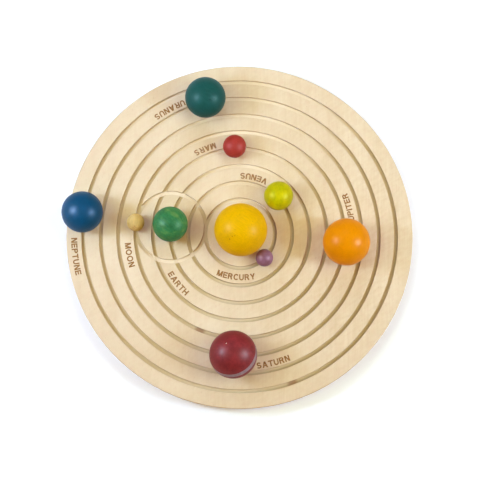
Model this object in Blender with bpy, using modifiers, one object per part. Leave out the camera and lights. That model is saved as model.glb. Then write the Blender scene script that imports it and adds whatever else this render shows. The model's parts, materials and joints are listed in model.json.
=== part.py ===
"""Toy orrery: a grooved round plywood board that carries ten loose wooden balls.

All sizes are in metres. The origin is the centre of the board's underside and +Z is up. Each orbit
groove is centred on the Z axis. Orbit angles are counted anticlockwise from +X, seen from above.
"""

import math

import bpy

OBJECT_NAME = "orrery"

# Board
BOARD_RADIUS = 0.1495
BOARD_THICKNESS = 0.012
BOARD_EDGE_ROUND = 0.001
BOARD_STEPS = 72

# Grooves: a flat-bottomed track, cut once for each orbit
ORBIT_PITCH = 0.015
FIRST_ORBIT = 2
ORBIT_COUNT = 8
GROOVE_WIDTH = 0.0032
GROOVE_DEPTH = 0.0025

# The moon's own ring, centred on the earth's place and reaching two orbits either way
MOON_RING_RADIUS = 2 * ORBIT_PITCH
MOON_RING_DEPTH = 0.0024
MOON_RING_STEPS = 48
CUTTER_HEADROOM = 0.001

# The sun sits this deep in a dimple at the board's centre
SUN_RADIUS = 0.0225
SUN_SINK = 0.001
DIMPLE_STEPS = 4

# Gap between pieces that touch
CLEARANCE = 0.0003

BALL_SEGMENTS = 24
BALL_RINGS = 12

# name: (orbit number from the centre, ball radius, angle on the orbit in degrees, sRGB colour)
PLANETS = {
    "mercury": (1, 0.0075, -46.9, (156, 109, 122)),
    "venus": (2, 0.0125, 43.5, (199, 196, 4)),
    "earth": (3, 0.0150, 174.7, (76, 135, 83)),
    "mars": (4, 0.0100, 93.9, (176, 66, 59)),
    "jupiter": (5, 0.0200, -6.3, (240, 147, 4)),
    "saturn": (6, 0.0200, -93.4, (135, 54, 57)),
    "uranus": (7, 0.0175, 104.7, (42, 93, 92)),
    "neptune": (8, 0.0175, 173.5, (21, 85, 121)),
}
MOON_RADIUS = 0.0075
SUN_COLOUR = (242, 188, 4)
MOON_COLOUR = (218, 182, 119)
PLYWOOD_COLOUR = (230, 208, 176)
PAINT_ROUGHNESS = 0.42
WOOD_ROUGHNESS = 0.6


def clear_scene():
    for obj in list(bpy.data.objects):
        bpy.data.objects.remove(obj, do_unlink=True)


def add_collection(name):
    collection = bpy.data.collections.new(name)
    bpy.context.scene.collection.children.link(collection)
    return collection


def move_to(obj, collection):
    for owner in list(obj.users_collection):
        owner.objects.unlink(obj)
    collection.objects.link(obj)


def linear(channel):
    """One 0-255 sRGB channel as linear light."""
    value = channel / 255
    if value <= 0.04045:
        return value / 12.92
    return ((value + 0.055) / 1.055) ** 2.4


def add_material(name, colour, roughness):
    material = bpy.data.materials.new(name)
    material.use_nodes = True
    shader = material.node_tree.nodes["Principled BSDF"]
    shader.inputs["Base Color"].default_value = (*map(linear, colour), 1.0)
    shader.inputs["Roughness"].default_value = roughness
    shader.inputs["Metallic"].default_value = 0.0
    return material


def orbit_radius(number):
    return (FIRST_ORBIT + number - 1) * ORBIT_PITCH


def arc(centre_x, centre_z, radius, start, end, steps):
    """Points of a circular arc in the XZ plane, both ends included; angles in radians."""
    points = []
    for step in range(steps + 1):
        angle = start + (end - start) * step / steps
        x = centre_x + radius * math.cos(angle)
        points.append((x, 0.0, centre_z + radius * math.sin(angle)))
    return points


def dimple_profile():
    """The sun's dimple, from the axis out to its rim on the board's face."""
    radius = SUN_RADIUS + CLEARANCE
    centre_z = BOARD_THICKNESS + SUN_RADIUS - SUN_SINK
    rim = math.asin((centre_z - BOARD_THICKNESS) / radius)
    return arc(0.0, centre_z, radius, -math.pi / 2, -rim, DIMPLE_STEPS)


def groove_profile(number):
    """One groove's section, from its inner lip to its outer lip."""
    inner = orbit_radius(number) - GROOVE_WIDTH / 2
    outer = inner + GROOVE_WIDTH
    floor = BOARD_THICKNESS - GROOVE_DEPTH
    return [
        (inner, 0.0, BOARD_THICKNESS),
        (inner, 0.0, floor),
        (outer, 0.0, floor),
        (outer, 0.0, BOARD_THICKNESS),
    ]


def board_profile():
    """Half section of the board: the face from the axis outwards, the edge, the underside."""
    points = dimple_profile()
    for number in range(1, ORBIT_COUNT + 1):
        points += groove_profile(number)
    shoulder = BOARD_RADIUS - BOARD_EDGE_ROUND
    points.append((shoulder, 0.0, BOARD_THICKNESS))
    points.append((BOARD_RADIUS, 0.0, BOARD_THICKNESS - BOARD_EDGE_ROUND))
    points.append((BOARD_RADIUS, 0.0, BOARD_EDGE_ROUND))
    points.append((shoulder, 0.0, 0.0))
    points.append((0.0, 0.0, 0.0))
    return points


def lathe(name, profile, steps, closed=False):
    """Turns a profile round Z. A closed profile makes a ring."""
    edges = [(i, i + 1) for i in range(len(profile) - 1)]
    if closed:
        edges.append((len(profile) - 1, 0))
    mesh = bpy.data.meshes.new(name)
    mesh.from_pydata(profile, edges, [])
    obj = bpy.data.objects.new(name, mesh)
    screw = obj.modifiers.new("turn", "SCREW")
    screw.axis = "Z"
    screw.steps = steps
    screw.render_steps = steps
    screw.use_merge_vertices = True
    screw.merge_threshold = 0.00001
    screw.use_smooth_shade = False
    return obj


def moon_ring_centre():
    number, _, angle, _ = PLANETS["earth"]
    turn = math.radians(angle)
    radius = orbit_radius(number)
    return radius * math.cos(turn), radius * math.sin(turn)


def moon_ring_cutter(cutters):
    inner = MOON_RING_RADIUS - GROOVE_WIDTH / 2
    outer = inner + GROOVE_WIDTH
    low = BOARD_THICKNESS - MOON_RING_DEPTH
    high = BOARD_THICKNESS + CUTTER_HEADROOM
    section = [(outer, 0.0, high), (outer, 0.0, low), (inner, 0.0, low), (inner, 0.0, high)]
    cutter = lathe("moon_ring_cutter", section, MOON_RING_STEPS, closed=True)
    cutter.location = (*moon_ring_centre(), 0.0)
    cutter.hide_render = True
    cutter.display_type = "WIRE"
    cutters.objects.link(cutter)
    return cutter


def make_board(parts, cutters):
    board = lathe("board", board_profile(), BOARD_STEPS)
    parts.objects.link(board)
    cut = board.modifiers.new("moon_ring", "BOOLEAN")
    cut.operation = "DIFFERENCE"
    cut.solver = "EXACT"
    cut.object = moon_ring_cutter(cutters)
    board.data.materials.append(add_material("birch_plywood", PLYWOOD_COLOUR, WOOD_ROUGHNESS))


def seat_height(radius):
    """Height of a ball's centre when it rests on both lips of a groove, with the clearance."""
    return BOARD_THICKNESS + math.sqrt((radius + CLEARANCE) ** 2 - (GROOVE_WIDTH / 2) ** 2)


def make_ball(name, radius, colour, roughness, parts, finish="_paint"):
    bpy.ops.mesh.primitive_uv_sphere_add(segments=BALL_SEGMENTS, ring_count=BALL_RINGS, radius=radius)
    ball = bpy.context.object
    ball.name = name
    ball.data.name = name
    ball.data.shade_smooth()
    ball.data.materials.append(add_material(name + finish, colour, roughness))
    move_to(ball, parts)
    return ball


def make_axis(name, x, y, turn, parts):
    """An empty on a vertical joint axis, turned so that its own +X points at the ball."""
    axis = bpy.data.objects.new(name, None)
    axis.empty_display_size = ORBIT_PITCH
    axis.location = (x, y, 0.0)
    axis.rotation_euler = (0.0, 0.0, math.radians(turn))
    parts.objects.link(axis)
    return axis


def make_sun(parts):
    sun = make_ball("sun_ball", SUN_RADIUS, SUN_COLOUR, PAINT_ROUGHNESS, parts)
    sun.location = (0.0, 0.0, BOARD_THICKNESS + SUN_RADIUS - SUN_SINK)


def make_planets(parts):
    for name, (number, radius, angle, colour) in PLANETS.items():
        ball = make_ball(name + "_ball", radius, colour, PAINT_ROUGHNESS, parts)
        ball.parent = make_axis(name + "_orbit_axis", 0.0, 0.0, angle, parts)
        ball.location = (orbit_radius(number), 0.0, seat_height(radius))


def make_moon(parts):
    """The moon stands on the far side of its ring, where the ring touches an orbit groove."""
    x, y = moon_ring_centre()
    moon = make_ball("moon_ball", MOON_RADIUS, MOON_COLOUR, WOOD_ROUGHNESS, parts, "_wood")
    moon.parent = make_axis("moon_ring_axis", x, y, PLANETS["earth"][2], parts)
    moon.location = (MOON_RING_RADIUS, 0.0, seat_height(MOON_RADIUS))


def main():
    clear_scene()
    parts = add_collection(OBJECT_NAME)
    cutters = add_collection(OBJECT_NAME + "_cutters")
    make_board(parts, cutters)
    make_sun(parts)
    make_planets(parts)
    make_moon(parts)


main()
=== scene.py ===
"""The looks of the toy orrery: a grooved birch plywood board and ten painted wooden balls.

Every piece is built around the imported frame, in metres, +Z up. The board's top face is cut with the
orbit grooves, the moon's ring, the sun's dimple and the burnt-in names. Each ball is turned round
its own grain and then placed on its CAD body.
"""

import json
import math

import bmesh
import bpy
from mathutils import Matrix, Vector, geometry, noise


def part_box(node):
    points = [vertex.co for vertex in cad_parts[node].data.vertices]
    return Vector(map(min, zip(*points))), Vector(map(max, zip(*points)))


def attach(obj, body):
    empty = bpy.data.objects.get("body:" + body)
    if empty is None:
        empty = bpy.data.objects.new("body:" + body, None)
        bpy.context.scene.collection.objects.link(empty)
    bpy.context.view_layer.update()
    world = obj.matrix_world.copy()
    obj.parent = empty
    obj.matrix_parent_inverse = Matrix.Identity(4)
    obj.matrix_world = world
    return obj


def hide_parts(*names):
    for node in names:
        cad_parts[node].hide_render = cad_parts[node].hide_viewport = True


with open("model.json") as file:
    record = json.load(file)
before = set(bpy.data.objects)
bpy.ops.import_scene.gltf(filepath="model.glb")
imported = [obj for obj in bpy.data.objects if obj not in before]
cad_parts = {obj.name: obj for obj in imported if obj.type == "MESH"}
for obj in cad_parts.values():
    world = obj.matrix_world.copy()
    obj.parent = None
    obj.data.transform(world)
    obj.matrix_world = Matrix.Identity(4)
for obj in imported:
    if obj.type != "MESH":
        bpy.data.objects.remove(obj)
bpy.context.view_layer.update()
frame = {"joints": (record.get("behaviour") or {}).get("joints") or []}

MM = 0.001
MERGE_DISTANCE = 0.01 * MM    # between points of a turned mesh that become one
WELD_DISTANCE = 0.001 * MM    # the same, in a cutter

# ---------------------------------------------------------------- board
PLANET_ORDER = ("mercury", "venus", "earth", "mars", "jupiter", "saturn", "uranus", "neptune")
BOARD_STEPS = 360
RING_STEPS = 180
GROOVE_WIDTH = 3.2 * MM
GROOVE_DEPTH = 2.5 * MM
CORNER_ROUND = 0.3 * MM
CORNER_SEGMENTS = 3
LIP_CHAMFER = 0.15 * MM
EDGE_ROUND = 1.0 * MM
EDGE_SEGMENTS = 8
EDGE_SUPPORT = 0.3 * MM       # a narrow flat beside the rounded edge, which keeps its shading crisp
DIMPLE_SEGMENTS = 8
DIMPLE_SINK = 0.3 * MM        # below the CAD sun
DIMPLE_FLARE = 0.75 * MM      # how much wider its rim is sanded
MOON_RING_LIFT = 0.1 * MM     # of its floor above the orbits' floors
CUTTER_HEADROOM = 1.0 * MM
SHARP_ANGLE = math.radians(15)

PLY_COUNT = 9
PLY_SHIFT = 0.37              # metres between one ply's place in the wood and the next one's
RIM_FADE = (4 * MM, 6 * MM)   # past the last orbit, where the grooves' marks end
# Where the painted shadow of the outer wall in the grooves is strongest
SHADED_SIDE = math.radians(-40)
# Darker glue patches on groove floors: (angle in degrees, whose orbit)
DARK_SPOTS = ((-70.8, "neptune"), (-112.4, "jupiter"))
DARK_SPOT_FADE = (2.5 * MM, 5.5 * MM)
WOOD_TONES = {
    "pale": (238, 222, 190),
    "warm": (221, 198, 157),
    "blush": (229, 199, 165),
    "fleck": (200, 164, 120),
    "fibre": (200, 168, 126),
    "inner ply": (208, 176, 132),
    "end grain": (176, 134, 88),
    "glue": (140, 98, 58),
    # Tones painted in the grooves: darker upright walls, painted shade, painted light and a painted
    # wall shadow
    "dark_wall": (150, 106, 58),
    "floor_shade": (200, 181, 126),
    "floor_light": (252, 240, 216),
    "wall_shadow": (132, 108, 68),
    "dark spot": (150, 92, 56),
    "soot": (128, 84, 40),
    "light soot": (168, 120, 66),
    "bare patch": (188, 144, 90),
}

# ---------------------------------------------------------------- studio
CAMERA_PLACE = (-0.02331, -0.15209, 0.97117)
CAMERA_TURN = (0.1516, -0.0242, 0.0003)   # radians
CAMERA_LENS = 84.44                       # millimetres, as the sensor's width is
SENSOR_WIDTH = 36.0
LIGHT_AIM = Vector((0.0, 0.0, 0.02))
# name: (azimuth and elevation in degrees, distance, size, power of red, green and blue in watts)
COLOUR_LIGHTS = {
    "left_key": (178, 36, 0.6, 0.14, (0.84, 1.12, 2.01)),
    "right_key": (-10, 35, 0.85, 0.2, (1.75, 2.50, 4.02)),
    "back_fill": (90, 50, 0.55, 0.3, (0.59, 0.77, 1.03)),
    "left_fill": (180, 55, 1.2, 0.7, (4.52, 5.56, 3.48)),
    "right_fill": (0, 55, 1.2, 0.7, (3.80, 3.87, 1.04)),
}
# The same, for the lights that only make highlights on the paint
GLINT_LIGHTS = {
    "left_glint": (178, 36, 0.6, 0.14, (7.2, 7.7, 9.3)),
    "right_glint": (-10, 35, 0.85, 0.2, (15.4, 16.7, 19.4)),
}
WORLD_COLOUR = (1.0, 0.241, 0.0656, 1.0)
WORLD_STRENGTH = 0.271
TENT_RADIUS = 3.5
TENT_SEGMENTS = 24
TENT_STEPS = 64
TENT_GLOW = 0.95
PAPER_GLOW = 0.16
PAPER_GLOW_FADE = (0.3, 1.0)  # distances between which the paper's glow rises to the tent's

# ---------------------------------------------------------------- lettering
CAP_HEIGHT = 5.2 * MM
ENGRAVING_DEPTH = 0.15 * MM
STROKE = 0.215                # of the cap height
SLANT = STROKE * 1.2          # a sloping stroke's level width
BOWL_STEP = 12                # degrees in one side of a curved stroke
FEWEST_SIDES = 6              # of a curved stroke
OUTLINE_TOLERANCE = 0.0001    # of the cap height
LETTER_GAP = 0.55 * MM
# name: (mid radius, first and last angle in degrees, radius of the line's own curve)
LABELS = {
    "MERCURY": (37.8 * MM, -121.0, -70.0, 55 * MM),
    "VENUS": (51.0 * MM, 63.0, 90.0, 51 * MM),
    "EARTH": (68.8 * MM, -150.7, -131.0, 75 * MM),
    "MARS": (80.8 * MM, 105.3, 119.3, 81 * MM),
    "MOON": (97.0 * MM, -175.0, -162.5, 97 * MM),
    "JUPITER": (97.2 * MM, 4.8, 21.4, 97 * MM),
    "SATURN": (114.2 * MM, -83.0, -68.5, 120 * MM),
    "URANUS": (126.3 * MM, 112.7, 126.0, 126 * MM),
    "NEPTUNE": (142.7 * MM, -178.3, -165.3, 146 * MM),
}

# ---------------------------------------------------------------- balls
BALL_STEPS = 128
BALL_RINGS = 64
BALL_SHARP_ANGLE = math.radians(25)
POLE_FLAT = 0.06              # radians from the pole
OUT_OF_ROUND = 0.06 * MM      # on a ball of TYPICAL_RADIUS
TYPICAL_RADIUS = 20 * MM
ROUGH_WAVES = 1.3             # in a ball's radius
ROUGH_SHIFT = (3.1, 1.7, 2.3)     # between one ball's waves and the next one's
PITH = (-28 * MM, -11 * MM)   # the tree's middle, from the ball's turning axis
RING_BEND = 4 * MM            # how far the year rings stray from circles
BALL_SHIFT = (0.013, -0.021, 0.017)   # metres between one ball's place in the wood and the next one's
BAND_WIDTH = 5.0 * MM
BAND_DEPTH = 0.12 * MM
BAND_SHOULDER = 0.1 * MM
BAND_COLOUR = (150, 126, 131)
WORN_COLOUR = (160, 172, 102)     # of the wood where the stain is rubbed thin

# grain is the (tilt from upright, azimuth) of the axis that the ball was turned on, in degrees. shine
# is the paint's specular level and gloss its roughness. rings and pores are how much of the wood
# shows through, mottle is how unevenly the stain took, tint is the hue that it drifts to, rub is how
# far it has worn off along the grain, and dye is how far a highlight takes the stain's hue.
BALLS = {
    "sun": dict(colour=(229, 178, 0), grain=(88, -32), shine=0.055, gloss=0.38, rings=0.15, pores=1.1,
                mottle=0.4),
    "mercury": dict(colour=(143, 98, 119), grain=(60, 100), shine=0.3, gloss=0.44, rings=0.3,
                    mottle=0.7),
    "venus": dict(colour=(187, 185, 0), grain=(80, 88), shine=0.2, gloss=0.42, rings=0.5, pores=0.8,
                  tint=(206, 190, 0), dye=0.85),
    "earth": dict(colour=(50, 122, 72), grain=(80, -38), shine=0.17, gloss=0.46, rings=0.3, mottle=1.5,
                  tint=(80, 134, 60), rub=0.22),
    "moon": dict(colour=(213, 182, 112), grain=(85, 75), shine=0.03, gloss=0.6, rings=0.5, mottle=0.5),
    "mars": dict(colour=(168, 53, 42), grain=(70, 10), shine=0.24, gloss=0.52, rings=0.3, mottle=0.5),
    "jupiter": dict(colour=(230, 143, 0), grain=(85, 80), shine=0.085, gloss=0.34, rings=0.1,
                    pores=0.4, mottle=0.3),
    "saturn": dict(colour=(131, 41, 43), grain=(29.5, 124.5), shine=0.13, gloss=0.44, rings=0.2,
                   mottle=1.3, dye=0.0),
    "uranus": dict(colour=(28, 83, 78), grain=(80, 150), shine=0.1, gloss=0.44, rings=0.2,
                   mottle=0.6),
    "neptune": dict(colour=(0, 70, 105), grain=(70, 40), shine=0.22, gloss=0.44, rings=0.15,
                    mottle=0.5),
}

# Dents and dots in the paint: ((place across and up the ball, seen from above), size, colour)
SPECKS = {
    "sun": (
        ((-0.43, -0.48), 0.9 * MM, (190, 134, 6)),
        ((-0.33, -0.39), 0.8 * MM, (196, 140, 4)),
        ((-0.24, -0.37), 0.7 * MM, (200, 144, 4)),
    ),
    "moon": (
        ((-0.06, -0.59), 0.7 * MM, (196, 146, 84)),
        ((0.1, -0.72), 0.6 * MM, (186, 140, 80)),
        ((-0.15, -0.74), 0.8 * MM, (206, 160, 96)),
    ),
    "saturn": (((-0.3, 0.41), 0.5 * MM, (236, 226, 214)),),
    "uranus": (
        ((0.23, -0.37), 0.8 * MM, (16, 66, 66)),
        ((0.31, -0.39), 0.6 * MM, (18, 68, 68)),
        ((0.43, -0.32), 0.9 * MM, (16, 66, 66)),
    ),
}


def srgb(red, green, blue):
    """An sRGB colour, 0 to 255, as linear RGBA."""
    channels = []
    for value in (red / 255, green / 255, blue / 255):
        if value <= 0.04045:
            channels.append(value / 12.92)
        else:
            channels.append(((value + 0.055) / 1.055) ** 2.4)
    return (*channels, 1.0)


def wood_tone(name):
    return srgb(*WOOD_TONES[name])


def scaled(colour, factor):
    return (*(min(1.0, channel * factor) for channel in colour[:3]), 1.0)


class Graph:
    """A material's nodes, with one short call for each kind used here."""

    def __init__(self, name):
        self.material = bpy.data.materials.new(name)
        self.material.use_nodes = True
        self.tree = self.material.node_tree
        self.shader = self.tree.nodes["Principled BSDF"]

    def feed(self, socket, value):
        if isinstance(value, bpy.types.NodeSocket):
            self.tree.links.new(value, socket)
        else:
            socket.default_value = value

    def place(self):
        """Coordinates of the piece's own frame, in metres, and the surface's normal."""
        node = self.tree.nodes.new("ShaderNodeTexCoord")
        return node.outputs["Object"], node.outputs["Normal"]

    def split(self, vector):
        node = self.tree.nodes.new("ShaderNodeSeparateXYZ")
        self.feed(node.inputs[0], vector)
        return node.outputs[0], node.outputs[1], node.outputs[2]

    def join(self, x, y, z):
        node = self.tree.nodes.new("ShaderNodeCombineXYZ")
        for socket, value in zip(node.inputs, (x, y, z)):
            self.feed(socket, value)
        return node.outputs[0]

    def math(self, operation, first, second=0.0):
        node = self.tree.nodes.new("ShaderNodeMath")
        node.operation = operation
        self.feed(node.inputs[0], first)
        self.feed(node.inputs[1], second)
        return node.outputs[0]

    def plus(self, first, second):
        return self.math("ADD", first, second)

    def minus(self, first, second):
        return self.math("SUBTRACT", first, second)

    def times(self, first, second):
        return self.math("MULTIPLY", first, second)

    def past_whole(self, value):
        """How far the value lies past its nearest whole number, from -0.5 to 0.5."""
        return self.minus(self.math("FRACT", self.plus(value, 0.5)), 0.5)

    def vector(self, operation, first, second=(0.0, 0.0, 0.0)):
        node = self.tree.nodes.new("ShaderNodeVectorMath")
        node.operation = operation
        self.feed(node.inputs[0], first)
        self.feed(node.inputs[1], second)
        gives_number = operation in ("LENGTH", "DISTANCE", "DOT_PRODUCT")
        return node.outputs["Value" if gives_number else "Vector"]

    def noise(self, vector, scale, detail=2.0, roughness=0.5, distortion=0.0):
        node = self.tree.nodes.new("ShaderNodeTexNoise")
        self.feed(node.inputs["Vector"], vector)
        self.feed(node.inputs["Scale"], scale)
        self.feed(node.inputs["Detail"], detail)
        self.feed(node.inputs["Roughness"], roughness)
        self.feed(node.inputs["Distortion"], distortion)
        return node.outputs["Fac"]

    def span(self, value, low, high, to_low=0.0, to_high=1.0):
        """value carried from low..high to to_low..to_high, and held there outside them."""
        node = self.tree.nodes.new("ShaderNodeMapRange")
        for socket, number in zip(node.inputs, (value, low, high, to_low, to_high)):
            self.feed(socket, number)
        return node.outputs[0]

    def mix(self, share, first, second, blend="MIX"):
        node = self.tree.nodes.new("ShaderNodeMix")
        node.data_type = "RGBA"
        node.blend_type = blend
        self.feed(node.inputs[0], share)
        self.feed(node.inputs[6], first)
        self.feed(node.inputs[7], second)
        return node.outputs[2]

    def choose(self, share, first, second):
        """first where share is 0, second where it is 1, for numbers."""
        node = self.tree.nodes.new("ShaderNodeMix")
        self.feed(node.inputs[0], share)
        self.feed(node.inputs[2], first)
        self.feed(node.inputs[3], second)
        return node.outputs[0]

    def turned_back(self, vector, turning):
        """The vector in the frame that this rotation turned."""
        node = self.tree.nodes.new("ShaderNodeVectorRotate")
        node.rotation_type = "EULER_XYZ"
        node.invert = True
        self.feed(node.inputs["Vector"], vector)
        self.feed(node.inputs["Rotation"], turning.to_euler("XYZ"))
        return node.outputs[0]

    def bump(self, height, distance):
        node = self.tree.nodes.new("ShaderNodeBump")
        node.inputs["Strength"].default_value = 1.0
        node.inputs["Distance"].default_value = distance
        self.feed(node.inputs["Height"], height)
        self.tree.links.new(node.outputs[0], self.shader.inputs["Normal"])


# ---------------------------------------------------------------- materials

def lit_along_groove(g, x, y, ring):
    """How much painted light a groove's floor gets where it runs along X, in line with the side lamps,
    from 0 to 1. Where it is low, the floor gets painted shade.

    The orbits get more painted light on their far side, at +Y, than on their near side. ring is the
    moon ring's centre and radius; the orbits are centred on the origin."""
    _, ahead, _ = g.split(g.vector("NORMALIZE", g.join(x, y, 0.0)))
    orbit = g.plus(g.span(ahead, 0.55, 0.97), g.span(ahead, -1.0, -0.85, 0.4, 0.0))
    centre, radius = ring
    offset = g.join(g.minus(x, centre.x), g.minus(y, centre.y), 0.0)
    _, side, _ = g.split(g.vector("NORMALIZE", offset))
    ringed = g.span(g.math("ABSOLUTE", side), 0.5, 0.95)
    away = g.math("ABSOLUTE", g.minus(g.vector("LENGTH", offset), radius))
    on_ring = g.span(away, GROOVE_WIDTH / 2, GROOVE_WIDTH / 2 + LIP_CHAMFER, 1.0, 0.0)
    return g.choose(on_ring, orbit, ringed)


def groove_wall_shadow(g, x, y):
    """Painted shadow of the outer wall on the orbit grooves' floors, most at SHADED_SIDE, from 0 to 1.
    """
    radii = orbit_radii()
    pitch = radii[1] - radii[0]
    flat = g.join(x, y, 0.0)
    orbits = g.math("DIVIDE", g.minus(g.vector("LENGTH", flat), radii[0]), pitch)
    off_middle = g.times(g.past_whole(orbits), pitch)
    outer = g.span(off_middle, -0.25 * GROOVE_WIDTH, 0.3 * GROOVE_WIDTH)
    side = (math.cos(SHADED_SIDE), math.sin(SHADED_SIDE), 0.0)
    towards = g.vector("DOT_PRODUCT", g.vector("NORMALIZE", flat), side)
    return g.times(outer, g.span(towards, 0.15, 0.85))


def birch_figure(g, x, y, across, along, deep):
    """Bare birch: its colour, and the streaks and fibres that its roughness and bumps follow.

    along runs with the grain and across over it. deep tells one ply from another."""
    def drawn(share, scale, detail, roughness, distortion=0.0):
        """Noise drawn out along the grain. share is how fast it changes there, against 1 across."""
        place = g.join(across, g.times(along, share), deep)
        return g.noise(place, scale, detail, roughness, distortion)

    figure = drawn(0.22, 42.0, 4.0, 0.55, 0.6)
    streaks = drawn(0.05, 620.0, 3.0, 0.6)
    fibres = drawn(0.06, 2600.0, 2.0, 0.6)
    flecks = drawn(0.3, 900.0, 1.0, 0.5)
    cloud = g.noise(g.join(x, y, deep), 14.0, 2.0, 0.5)
    mottle = g.noise(g.join(x, y, deep), 190.0, 2.0, 0.6)
    slanted = g.plus(g.times(across, 0.55), g.times(along, -0.83))
    level = g.plus(g.times(across, 0.25), g.times(along, 0.17))
    curl = g.noise(g.join(slanted, level, deep), 330.0, 3.0, 0.6, 0.4)

    # The figure is livelier towards +X.
    lively = g.span(x, -0.1, 0.12)
    streaky = g.span(lively, 0.0, 1.0, 0.1, 0.34)
    curly = g.span(lively, 0.0, 1.0, 0.18, 0.4)
    shade = g.times(g.span(figure, 0.3, 0.7), 0.4)
    shade = g.plus(shade, g.times(g.span(streaks, 0.3, 0.7, -0.5, 0.5), streaky))
    shade = g.plus(shade, g.times(g.span(curl, 0.3, 0.7, -0.5, 0.5), curly))
    shade = g.plus(shade, 0.2)
    shade = g.plus(shade, g.times(g.span(cloud, 0.3, 0.7), 0.25))
    colour = g.mix(shade, wood_tone("pale"), wood_tone("warm"))
    colour = g.mix(g.span(mottle, 0.5, 0.72, 0.0, 0.3), colour, wood_tone("blush"))
    colour = g.mix(g.span(flecks, 0.68, 0.78, 0.0, 0.25), colour, wood_tone("fleck"))
    colour = g.mix(g.span(fibres, 0.25, 0.75, 0.0, 0.08), colour, wood_tone("fibre"))
    return colour, streaks, fibres


def ply_edges(g, colour, depth, crossed, end_grain):
    """Darkens the crossed plies, the ends of the grain and the glue between plies."""
    colour = g.mix(g.times(crossed, 0.35), colour, wood_tone("inner ply"))
    colour = g.mix(g.times(end_grain, 0.55), colour, wood_tone("end grain"))
    glue = g.span(g.math("ABSOLUTE", g.past_whole(depth)), 0.02, 0.07, 0.55, 0.0)
    under_face = g.span(depth, 0.4, 0.6)
    return g.mix(g.times(glue, under_face), colour, wood_tone("glue"))


def groove_marks(g, colour, position, depth, nz, top, ring):
    """Darker upright walls, and on the floors painted shade, painted light, a painted shadow of the
    outer wall and darker glue patches.

    The floor has painted shade where it runs along Y, across the side lamps, and painted light where
    it runs along X, in line with them."""
    x, y, _ = g.split(position)
    radii = orbit_radii()
    fade_start, fade_end = (radii[-1] + past for past in RIM_FADE)
    inside = g.span(g.vector("LENGTH", g.join(x, y, 0.0)), fade_start, fade_end, 1.0, 0.0)
    wall = g.span(g.math("ABSOLUTE", nz), 0.3, 0.8, 1.0, 0.0)
    # The upright walls are drawn a little darker.
    colour = g.mix(g.times(g.times(wall, inside), 0.1), colour, wood_tone("dark_wall"))
    in_groove = g.times(g.span(depth, 0.3, 0.6), inside)
    lit_along = lit_along_groove(g, x, y, ring)
    # Painted shade and painted light on the floor, by which way the groove runs.
    floor_shade = g.times(in_groove, g.span(lit_along, 0.0, 1.0, 0.45, 0.0))
    colour = g.mix(floor_shade, colour, wood_tone("floor_shade"))
    floor_light = g.times(in_groove, g.span(lit_along, 0.0, 1.0, 0.0, 0.5))
    colour = g.mix(floor_light, colour, wood_tone("floor_light"))
    # Painted shadow of the outer wall on the floor.
    wall_shadow = g.times(g.times(groove_wall_shadow(g, x, y), in_groove), 0.45)
    colour = g.mix(wall_shadow, colour, wood_tone("wall_shadow"))
    for angle, planet in DARK_SPOTS:
        turn, radius = math.radians(angle), radii[PLANET_ORDER.index(planet)]
        spot = (radius * math.cos(turn), radius * math.sin(turn), top - GROOVE_DEPTH)
        near = g.span(g.vector("DISTANCE", position, spot), *DARK_SPOT_FADE, 0.6, 0.0)
        colour = g.mix(g.times(near, in_groove), colour, wood_tone("dark spot"))
    return colour


def plywood(top, thickness, ring):
    """Bare birch plywood. Each ply's grain runs across the one above, and its ends show darker."""
    g = Graph("birch_plywood")
    position, normal = g.place()
    x, y, z = g.split(position)
    nx, ny, nz = g.split(normal)
    depth = g.math("DIVIDE", g.minus(top, z), thickness / PLY_COUNT)
    # A hair is added, so that the top face falls in the first ply.
    layer = g.math("FLOOR", g.plus(depth, 0.001))
    layer = g.math("MINIMUM", layer, PLY_COUNT - 1)
    crossed = g.math("MODULO", layer, 2.0)
    along = g.choose(crossed, y, x)
    across = g.choose(crossed, x, y)
    facing = g.choose(crossed, ny, nx)
    deep = g.plus(z, g.times(layer, PLY_SHIFT))
    colour, streaks, fibres = birch_figure(g, x, y, across, along, deep)
    colour = ply_edges(g, colour, depth, crossed, g.times(facing, facing))
    colour = groove_marks(g, colour, position, depth, nz, top, ring)
    g.feed(g.shader.inputs["Base Color"], colour)
    g.feed(g.shader.inputs["Roughness"], g.span(streaks, 0.3, 0.7, 0.5, 0.64))
    g.shader.inputs["Specular IOR Level"].default_value = 0.12
    g.bump(g.plus(fibres, g.times(streaks, 0.8)), 0.04 * MM)
    return g.material


def burnt_wood():
    """The scorched floor and walls of the engraved letters."""
    g = Graph("burnt_lettering")
    position, _ = g.place()
    soot = g.noise(position, 1500.0, 3.0, 0.6)
    patch = g.noise(position, 260.0, 2.0, 0.5)
    colour = g.mix(g.span(soot, 0.3, 0.7), wood_tone("soot"), wood_tone("light soot"))
    colour = g.mix(g.span(patch, 0.4, 0.7, 0.0, 0.4), colour, wood_tone("bare patch"))
    g.feed(g.shader.inputs["Base Color"], colour)
    g.shader.inputs["Roughness"].default_value = 0.85
    g.shader.inputs["Specular IOR Level"].default_value = 0.15
    g.bump(soot, 0.05 * MM)
    return g.material


def worn_paint(g, paint, streak, cloud, rub):
    """Paint rubbed thin in streaks along the grain."""
    worn = g.times(g.span(streak, 0.5, 0.7), g.span(cloud, 0.48, 0.66))
    return g.mix(g.times(worn, rub), paint, srgb(*WORN_COLOUR))


def painted_band(g, paint, height, streak, shade, colour):
    """A hand-painted ring round the ball's middle, whose edges wander a little."""
    wander = g.span(streak, 0.2, 0.8, -0.3 * MM, 0.3 * MM)
    off_middle = g.plus(g.math("ABSOLUTE", height), wander)
    edge = BAND_WIDTH / 2
    ringed = g.span(off_middle, edge - 0.5 * MM, edge + 0.2 * MM, 1.0, 0.0)
    coat = g.mix(1.0, srgb(*colour), shade, "MULTIPLY")
    return g.mix(ringed, paint, coat)


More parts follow.
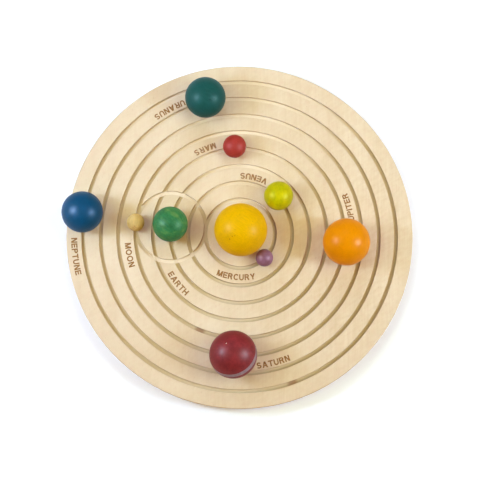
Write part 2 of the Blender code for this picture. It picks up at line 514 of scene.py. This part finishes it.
def stained_wood(name, seed, turning, colour, shine, gloss, rings=1.0, pores=1.0, mottle=1.0, tint=None,
                 rub=0.0, dye=0.5, specks=(), band=None):
    """Satin stain on a turned ball. turning is the rotation that carries Z to its turning axis.

    Each speck is (point, radius, sRGB colour), and band is the sRGB colour of a ring painted round
    the middle. BALLS tells what the other values are."""
    g = Graph(name)
    position, _ = g.place()
    position = g.turned_back(position, turning)
    moved = g.vector("ADD", position, [seed * step for step in BALL_SHIFT])
    x0, y0, z0 = g.split(position)
    x, y, z = g.split(moved)

    def drawn(share, scale, detail, roughness):
        """Noise drawn out along the axis. share is how fast it changes there, against 1 across."""
        return g.noise(g.join(x, y, g.times(z, share)), scale, detail, roughness)

    bend = drawn(0.3, 60.0, 2.0, 0.5)
    fibre = drawn(0.06, 1700.0, 3.0, 0.6)
    vessel = drawn(0.22, 1300.0, 1.0, 0.5)
    blotch = drawn(0.5, 420.0, 2.0, 0.6)
    streak = drawn(0.12, 330.0, 3.0, 0.6)
    cloud = g.noise(moved, 110.0, 3.0, 0.55)
    off_pith = g.vector("LENGTH", g.join(g.minus(x0, PITH[0]), g.minus(y0, PITH[1]), 0.0))
    ring_place = g.plus(off_pith, g.times(bend, RING_BEND))
    ring = g.noise(g.join(ring_place, 0.0, g.times(z, 0.02)), 900.0, 1.0, 0.4)

    base = srgb(*colour)
    paint = base
    if tint:
        drift = g.plus(g.span(cloud, 0.3, 0.7), g.span(streak, 0.3, 0.7))
        paint = g.mix(g.span(drift, 0.6, 1.6, 0.0, 0.6), base, srgb(*tint))
    grain = g.plus(g.span(ring, 0.3, 0.7, -0.5 * rings, 0.5 * rings),
                   g.span(fibre, 0.3, 0.7, -0.5 * pores, 0.5 * pores))
    stain = g.plus(g.span(cloud, 0.3, 0.7, -0.6, 0.6), g.span(blotch, 0.3, 0.7, -0.5, 0.5))
    tone = g.span(g.plus(grain, g.times(stain, mottle)), -1.6, 1.6, 0.7, 1.3)
    shade = g.join(tone, tone, tone)
    paint = g.mix(1.0, paint, shade, "MULTIPLY")
    open_pore = g.span(vessel, 0.66, 0.76, 0.0, 0.4 * pores)
    paint = g.mix(open_pore, paint, scaled(base, 0.5))
    if rub:
        paint = worn_paint(g, paint, streak, cloud, rub)
    if band:
        paint = painted_band(g, paint, z0, streak, shade, band)
    for point, radius, mark in specks:
        ragged = g.span(fibre, 0.2, 0.8, -0.3 * radius, 0.3 * radius)
        distance = g.plus(g.vector("DISTANCE", position, point), ragged)
        paint = g.mix(g.span(distance, radius * 0.5, radius, 1.0, 0.0), paint, srgb(*mark))
    g.feed(g.shader.inputs["Base Color"], paint)
    g.feed(g.shader.inputs["Roughness"], g.span(blotch, 0.3, 0.7, gloss - 0.04, gloss + 0.05))
    g.shader.inputs["Specular IOR Level"].default_value = shine
    strongest = max(base[:3])
    hue = [1.0 - dye + dye * channel / strongest for channel in base[:3]]
    g.shader.inputs["Specular Tint"].default_value = (*hue, 1.0)
    height = g.plus(fibre, g.times(ring, 0.5))
    g.bump(g.minus(height, g.times(open_pore, 1.5)), 0.03 * MM)
    return g.material


# ---------------------------------------------------------------- geometry helpers

def turned_mesh(name, profile, steps):
    """A mesh turned round Z from a profile of (radius, height) points."""
    mesh = bpy.data.meshes.new(name)
    points = [(radius, 0.0, height) for radius, height in profile]
    mesh.from_pydata(points, [(i, i + 1) for i in range(len(points) - 1)], [])
    obj = bpy.data.objects.new(name, mesh)
    bpy.context.scene.collection.objects.link(obj)
    screw = obj.modifiers.new("turn", "SCREW")
    screw.steps = steps
    screw.render_steps = steps
    screw.use_merge_vertices = True
    screw.merge_threshold = MERGE_DISTANCE
    return obj


def bake_modifiers(obj):
    """Replaces the object's mesh with the one its modifiers make."""
    graph = bpy.context.evaluated_depsgraph_get()
    mesh = bpy.data.meshes.new_from_object(obj.evaluated_get(graph))
    obj.modifiers.clear()
    obj.data = mesh


def arc(centre, height, radius, start, end, segments):
    """Points of a circular arc round (centre, height), both ends included; angles in radians."""
    points = []
    for step in range(segments + 1):
        angle = start + (end - start) * step / segments
        points.append((centre + radius * math.cos(angle), height + radius * math.sin(angle)))
    return points


def groove_section(centre, top):
    """A flat-bottomed groove with lightly sanded lips, from its inner to its outer side."""
    half = GROOVE_WIDTH / 2
    floor = top - GROOVE_DEPTH
    corner = floor + CORNER_ROUND
    inner, outer = centre - half, centre + half
    points = [(inner - LIP_CHAMFER, top), (inner, top - LIP_CHAMFER), (inner, corner)]
    down = 1.5 * math.pi
    points += arc(inner + CORNER_ROUND, corner, CORNER_ROUND, math.pi, down, CORNER_SEGMENTS)[1:]
    points += arc(outer - CORNER_ROUND, corner, CORNER_ROUND, down, 2 * math.pi, CORNER_SEGMENTS)
    points += [(outer, top - LIP_CHAMFER), (outer + LIP_CHAMFER, top)]
    return points


# ---------------------------------------------------------------- board

def ball_place(node):
    """Centre and radius of a ball's CAD node."""
    low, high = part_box(node)
    return (low + high) / 2, (high.z - low.z) / 2


def orbit_radii():
    radii = []
    for planet in PLANET_ORDER:
        centre, _ = ball_place(planet + "_ball")
        radii.append(math.hypot(centre.x, centre.y))
    return radii


def board_profile(radius, top):
    """Half section of the board: the face from the axis outwards, the edge, the underside."""
    sun_centre, sun_radius = ball_place("sun_ball")
    rim = math.asin((sun_centre.z - top) / sun_radius)
    dimple = arc(0.0, sun_centre.z, sun_radius, -math.pi / 2, -rim, DIMPLE_SEGMENTS)
    rim_radius, _ = dimple.pop()
    points = [(x, z - DIMPLE_SINK) for x, z in dimple]
    points.append((rim_radius + DIMPLE_FLARE, top))
    for orbit in orbit_radii():
        points += groove_section(orbit, top)
    inner = radius - EDGE_ROUND
    points.append((inner - EDGE_SUPPORT, top))
    points += arc(inner, top - EDGE_ROUND, EDGE_ROUND, math.pi / 2, 0.0, EDGE_SEGMENTS)
    points += arc(inner, EDGE_ROUND, EDGE_ROUND, 0.0, -math.pi / 2, EDGE_SEGMENTS)
    points.append((inner - EDGE_SUPPORT, 0.0))
    points.append((0.0, 0.0))
    return points


def moon_ring_place():
    """Centre and radius of the moon's ring, level with the underside."""
    joint = next(j for j in frame["joints"] if j["name"] == "moon_ring")
    moon, _ = ball_place("moon_ball")
    centre = Vector((joint["pos_m"][0], joint["pos_m"][1], 0.0))
    return centre, math.hypot(moon.x - centre.x, moon.y - centre.y)


def moon_ring_cutter(top):
    """A solid ring with the groove's section, standing a little above the face it cuts."""
    centre, radius = moon_ring_place()
    section = groove_section(radius, top + MOON_RING_LIFT)
    outer_flare = (section[-1][0] + CUTTER_HEADROOM, section[-1][1] + CUTTER_HEADROOM)
    inner_flare = (section[0][0] - CUTTER_HEADROOM, section[0][1] + CUTTER_HEADROOM)
    loop = [inner_flare, outer_flare] + section[::-1] + [inner_flare]
    cutter = turned_mesh("moon_ring_cutter", loop, RING_STEPS)
    bake_modifiers(cutter)
    weld(cutter.data)
    cutter.data.transform(Matrix.Translation(centre))
    return cutter


def weld(mesh):
    """Joins points that are WELD_DISTANCE apart or less and turns every face outwards."""
    bm = bmesh.new()
    bm.from_mesh(mesh)
    bmesh.ops.remove_doubles(bm, verts=bm.verts, dist=WELD_DISTANCE)
    bmesh.ops.recalc_face_normals(bm, faces=bm.faces)
    bm.to_mesh(mesh)
    bm.free()


def bar(left, low, right, high):
    """A level or upright stroke, anticlockwise from its lower left corner."""
    return [(left, low), (right, low), (right, high), (left, high)]


def slant(foot, head, width, low=0.0, high=1.0):
    """A sloping stroke whose ends are cut level. foot and head are its left corners."""
    return [(foot, low), (foot + width, low), (head + width, high), (head, high)]


def bowl(x, y, reach_x, reach_y, start, end):
    """A curved stroke round (x, y), from start to end in degrees."""
    steps = max(FEWEST_SIDES, round(abs(end - start) / BOWL_STEP))
    outer, inner = [], []
    for step in range(steps + 1):
        turn = math.radians(start + (end - start) * step / steps)
        across, up = math.cos(turn), math.sin(turn)
        outer.append((x + reach_x * across, y + reach_y * up))
        inner.append((x + (reach_x - STROKE) * across, y + (reach_y - STROKE) * up))
    return outer + inner[::-1]


# The loop that P and R share
LOOP = [
    bar(0, 0, STROKE, 1),
    bar(0, 1 - STROKE, 0.46, 1),
    bar(0, 0.42, 0.46, 0.42 + STROKE),
    bowl(0.46, 0.71, 0.3, 0.29, -90, 90),
]
S_REACH = 0.25 + STROKE / 4 + 0.01
# Plain capitals, one unit tall: (width, strokes)
CAPITALS = {
    "A": (0.92, [
        slant(0, 0.46 - STROKE * 0.6, SLANT),
        slant(0.92 - SLANT, 0.46 - STROKE * 0.6, SLANT),
        bar(0.2, 0.22, 0.72, 0.22 + STROKE * 0.9),
    ]),
    "C": (0.84, [bowl(0.45, 0.5, 0.45, 0.52, 42, 318)]),
    "E": (0.74, [
        bar(0, 0, STROKE, 1),
        bar(0, 0, 0.74, STROKE),
        bar(0, 1 - STROKE, 0.72, 1),
        bar(0, 0.5 - STROKE / 2, 0.67, 0.5 + STROKE / 2),
    ]),
    "H": (0.8, [
        bar(0, 0, STROKE, 1),
        bar(0.8 - STROKE, 0, 0.8, 1),
        bar(0, 0.5 - STROKE / 2, 0.8, 0.5 + STROKE / 2),
    ]),
    "I": (STROKE, [bar(0, 0, STROKE, 1)]),
    "J": (0.6, [
        bar(0.6 - STROKE, 0.29, 0.6, 1),
        bowl(0.3, 0.29, 0.3, 0.31, 180, 360),
        bar(0, 0.28, STROKE, 0.36),
    ]),
    "M": (0.94, [
        bar(0, 0, STROKE, 1),
        bar(0.94 - STROKE, 0, 0.94, 1),
        slant(0.47 - SLANT / 2, 0, SLANT),
        slant(0.47 - SLANT / 2, 0.94 - SLANT, SLANT),
    ]),
    "N": (0.8, [
        bar(0, 0, STROKE, 1),
        bar(0.8 - STROKE, 0, 0.8, 1),
        slant(0.8 - SLANT, 0, SLANT),
    ]),
    "O": (0.96, [bowl(0.48, 0.5, 0.48, 0.52, 0, 180), bowl(0.48, 0.5, 0.48, 0.52, 180, 360)]),
    "P": (0.76, LOOP),
    "R": (0.84, LOOP + [slant(0.84 - SLANT * 1.1, 0.36, SLANT, 0.0, 0.5)]),
    "S": (0.8, [
        bowl(0.4, 1.01 - S_REACH, 0.36, S_REACH, 25, 270),
        bowl(0.4, S_REACH - 0.01, 0.39, S_REACH, -155, 90),
    ]),
    "T": (0.8, [
        bar(0, 1 - STROKE, 0.8, 1),
        bar(0.4 - STROKE / 2, 0, 0.4 + STROKE / 2, 1),
    ]),
    "U": (0.8, [
        bar(0, 0.38, STROKE, 1),
        bar(0.8 - STROKE, 0.38, 0.8, 1),
        bowl(0.4, 0.4, 0.4, 0.42, 180, 360),
    ]),
    "V": (0.88, [
        slant(0.44 - SLANT / 2, 0, SLANT),
        slant(0.44 - SLANT / 2, 0.88 - SLANT, SLANT),
    ]),
    "Y": (0.86, [
        bar(0.43 - STROKE / 2, 0, 0.43 + STROKE / 2, 0.45),
        slant(0.43 - STROKE / 2, 0, SLANT, 0.4, 1.0),
        slant(0.43 - STROKE / 2, 0.86 - SLANT, SLANT, 0.4, 1.0),
    ]),
}


def add_letter(bm, letter, left, stretch, place):
    """Adds a capital's solid to bm. left is where it starts along its line."""
    _, strokes = CAPITALS[letter]
    points, faces = [], []
    for stroke in strokes:
        faces.append(list(range(len(points), len(points) + len(stroke))))
        points += [Vector(point) for point in stroke]
    flat = geometry.delaunay_2d_cdt(points, [], faces, 0, OUTLINE_TOLERANCE)
    corners, _, patches, _, _, sources = flat
    patches = [patch for patch, source in zip(patches, sources) if source]
    sides = []
    for patch in patches:
        sides += zip(patch, patch[1:] + patch[:1])
    # A side that no other patch has, the other way round, is on the letter's outline.
    rims = [(a, b) for a, b in sides if (b, a) not in sides]
    layers = []
    for height in (-ENGRAVING_DEPTH, ENGRAVING_DEPTH):
        layer = []
        for corner in corners:
            across = left + corner.x * CAP_HEIGHT * stretch
            spot = Vector((across, corner.y * CAP_HEIGHT, height))
            layer.append(bm.verts.new(place @ spot))
        layers.append(layer)
    under, over = layers
    for patch in patches:
        bm.faces.new([over[i] for i in patch])
        bm.faces.new([under[i] for i in reversed(patch)])
    for first, second in rims:
        bm.faces.new((under[first], under[second], over[second], over[first]))


def add_word(bm, word, top, middle, start, end, curve_radius):
    """Adds a name to bm, with its letters stretched or squeezed to reach from start to end."""
    half_turn = math.radians(end - start) / 2
    half_length = curve_radius * math.asin(middle * math.sin(half_turn) / curve_radius)
    widths = [CAPITALS[letter][0] * CAP_HEIGHT for letter in word]
    stretch = (2 * half_length - LETTER_GAP * (len(word) - 1)) / sum(widths)
    widths = [width * stretch for width in widths]
    turn = math.radians(start + end) / 2
    pivot = Vector((math.cos(turn), math.sin(turn), 0.0)) * (middle - curve_radius)
    baseline = curve_radius + CAP_HEIGHT / 2
    along = -half_length
    for letter, width in zip(word, widths):
        at = turn + (along + width / 2) / curve_radius
        spot = pivot + Vector((math.cos(at), math.sin(at), 0.0)) * baseline
        spot.z = top
        place = Matrix.Translation(spot) @ Matrix.Rotation(at + math.pi / 2, 4, "Z")
        add_letter(bm, letter, -width / 2, stretch, place)
        along += width + LETTER_GAP


def lettering_cutter(top):
    """All the names as one cutter. Their tops point at the board's centre."""
    bm = bmesh.new()
    for word, line in LABELS.items():
        add_word(bm, word, top, *line)
    mesh = bpy.data.meshes.new("lettering_cutter")
    bm.to_mesh(mesh)
    bm.free()
    cutter = bpy.data.objects.new("lettering_cutter", mesh)
    bpy.context.scene.collection.objects.link(cutter)
    weld(mesh)
    return cutter


def cut(obj, cutter):
    boolean = obj.modifiers.new(cutter.name, "BOOLEAN")
    boolean.operation = "DIFFERENCE"
    boolean.solver = "EXACT"
    boolean.material_mode = "TRANSFER"
    boolean.object = cutter
    bake_modifiers(obj)
    bpy.data.objects.remove(cutter)


def make_board():
    low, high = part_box("board")
    radius = (high.y - low.y) / 2
    top = high.z
    wood = plywood(top, high.z - low.z, moon_ring_place())
    board = turned_mesh("grooved_board", board_profile(radius, top), BOARD_STEPS)
    bake_modifiers(board)
    board.data.materials.append(wood)
    ring = moon_ring_cutter(top)
    ring.data.materials.append(wood)
    cut(board, ring)
    names = lettering_cutter(top)
    names.data.materials.append(burnt_wood())
    cut(board, names)
    board.data.shade_smooth()
    board.data.set_sharp_from_angle(angle=SHARP_ANGLE)
    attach(board, "board")
    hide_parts("board")


# ---------------------------------------------------------------- balls

def ball_profile(radius, band=False):
    """Half a ball from pole to pole, with the small flat that turning leaves at each pole.

    band cuts a shallow ring round its middle."""
    points = [(0.0, radius * math.cos(POLE_FLAT))]
    for step in range(BALL_RINGS + 1):
        angle = POLE_FLAT + (math.pi - 2 * POLE_FLAT) * step / BALL_RINGS
        points.append((radius * math.sin(angle), radius * math.cos(angle)))
    points.append((0.0, -radius * math.cos(POLE_FLAT)))
    if not band:
        return points
    half_band = BAND_WIDTH / 2 / radius
    shoulder = BAND_SHOULDER / radius
    edges = (-half_band - shoulder, -half_band, 0.0, half_band, half_band + shoulder)
    depths = (0.0, BAND_DEPTH, BAND_DEPTH, BAND_DEPTH, 0.0)
    ring = []
    for edge, depth in zip(edges, depths):
        angle = math.pi / 2 + edge
        ring.append(((radius - depth) * math.sin(angle), (radius - depth) * math.cos(angle)))
    # The ball's own points that are nearer the band than this are left out.
    limit = radius * math.sin(half_band + 1.5 * shoulder)
    above = [p for p in points if p[1] > limit]
    below = [p for p in points if p[1] < -limit]
    return above + ring + below


def roughen(mesh, radius, seed):
    """Hand sanding leaves a turned ball a few hundredths of a millimetre out of round."""
    offset = Vector([seed * step for step in ROUGH_SHIFT])
    for vertex in mesh.vertices:
        direction = vertex.co.normalized()
        wave = noise.noise(direction * ROUGH_WAVES + offset)
        vertex.co -= direction * OUT_OF_ROUND * (0.5 + 0.5 * wave) * radius / TYPICAL_RADIUS


def tilted(tilt, azimuth):
    """A direction this many degrees from upright, leaning to this azimuth."""
    lean, turn = math.radians(tilt), math.radians(azimuth)
    return Vector((math.sin(lean) * math.cos(turn), math.sin(lean) * math.sin(turn), math.cos(lean)))


def make_ball(body, seed, grain, **look):
    """One turned ball, set on its CAD ball with its grain along its own turning axis."""
    node = body + "_ball"
    centre, radius = ball_place(node)
    finish = "moon_wood" if body == "moon" else body + "_paint"
    turning = tilted(*grain).to_track_quat("Z", "Y")
    specks = []
    for (across, up), size, tint in SPECKS.get(body, ()):
        seen = Vector((across, up, math.sqrt(1 - across**2 - up**2))) * radius
        specks.append((turning.inverted() @ seen, size, tint))
    ball = turned_mesh("turned_" + body, ball_profile(radius, body == "saturn"), BALL_STEPS)
    bake_modifiers(ball)
    roughen(ball.data, radius, seed)
    band = BAND_COLOUR if body == "saturn" else None
    ball.data.transform(turning.to_matrix().to_4x4())
    wood = stained_wood(finish, seed, turning, specks=specks, band=band, **look)
    ball.data.materials.append(wood)
    ball.data.shade_smooth()
    ball.data.set_sharp_from_angle(angle=BALL_SHARP_ANGLE)
    ball.location = centre
    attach(ball, body)
    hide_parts(node)


def make_balls():
    for seed, (body, look) in enumerate(BALLS.items(), start=1):
        make_ball(body, seed, **look)


# ---------------------------------------------------------------- studio

def make_floor():
    """A sheet of white paper. It glows more towards its far edge, so that it has no dark horizon."""
    g = Graph("paper")
    position, _ = g.place()
    tooth = g.noise(position, 700.0, 2.0, 0.5)
    g.feed(g.shader.inputs["Base Color"], g.mix(tooth, srgb(236, 243, 249), srgb(242, 248, 252)))
    g.shader.inputs["Roughness"].default_value = 0.9
    g.shader.inputs["Specular IOR Level"].default_value = 0.0
    g.shader.inputs["Emission Color"].default_value = (1.0, 1.0, 1.0, 1.0)
    glow = g.span(g.vector("LENGTH", position), *PAPER_GLOW_FADE, PAPER_GLOW, TENT_GLOW)
    g.feed(g.shader.inputs["Emission Strength"], glow)
    bpy.ops.mesh.primitive_plane_add(size=2 * TENT_RADIUS)
    floor = bpy.context.object
    floor.name = "paper_floor"
    floor.data.materials.append(g.material)


def make_tent():
    """A pale dome over the set. It is only seen, and throws no light."""
    g = Graph("tent_cloth")
    position, _ = g.place()
    weave = g.noise(position, 3.0, 2.0, 0.5)
    g.shader.inputs["Base Color"].default_value = (0.0, 0.0, 0.0, 1.0)
    g.shader.inputs["Specular IOR Level"].default_value = 0.0
    g.feed(g.shader.inputs["Emission Color"], g.mix(weave, srgb(248, 249, 252), srgb(252, 252, 254)))
    g.shader.inputs["Emission Strength"].default_value = TENT_GLOW
    dome = arc(0.0, 0.0, TENT_RADIUS, math.pi / 2, 0.0, TENT_SEGMENTS)
    tent = turned_mesh("tent", dome, TENT_STEPS)
    bake_modifiers(tent)
    tent.data.materials.append(g.material)
    tent.data.shade_smooth()
    tent.visible_diffuse = False
    tent.visible_glossy = False
    tent.visible_shadow = False


def make_softbox(name, azimuth, elevation, distance, size, watts, glint=False):
    """A round softbox aimed at the board. watts are its red, green and blue power.

    A glint only makes highlights on the paint. The others light the colours."""
    turn, rise = math.radians(azimuth), math.radians(elevation)
    aim = Vector((math.cos(rise) * math.cos(turn), math.cos(rise) * math.sin(turn), math.sin(rise)))
    light = bpy.data.lights.new(name, "AREA")
    light.shape = "DISK"
    light.size = size
    light.energy = max(watts)
    light.color = [power / light.energy for power in watts]
    light.use_shadow = not glint
    obj = bpy.data.objects.new(name, light)
    obj.location = aim * distance + LIGHT_AIM
    obj.rotation_mode = "QUATERNION"
    obj.rotation_quaternion = aim.to_track_quat("Z", "Y")
    obj.visible_glossy = glint
    obj.visible_diffuse = not glint
    bpy.context.scene.collection.objects.link(obj)


def make_world():
    """A dim warm light from all round, which makes no highlights."""
    world = bpy.data.worlds.new("studio")
    world.use_nodes = True
    background = world.node_tree.nodes["Background"]
    background.inputs["Color"].default_value = WORLD_COLOUR
    background.inputs["Strength"].default_value = WORLD_STRENGTH
    world.cycles_visibility.glossy = False
    bpy.context.scene.world = world


def make_studio():
    make_floor()
    make_tent()
    for name, light in COLOUR_LIGHTS.items():
        make_softbox(name, *light)
    for name, light in GLINT_LIGHTS.items():
        make_softbox(name, *light, glint=True)
    make_world()
    bpy.context.scene.view_settings.view_transform = "Standard"


def make_camera():
    camera = bpy.data.cameras.new("camera")
    camera.sensor_width = SENSOR_WIDTH
    camera.lens = CAMERA_LENS
    obj = bpy.data.objects.new("camera", camera)
    obj.location = CAMERA_PLACE
    obj.rotation_euler = CAMERA_TURN
    bpy.context.scene.collection.objects.link(obj)
    bpy.context.scene.camera = obj


make_camera()
make_studio()
make_board()
make_balls()
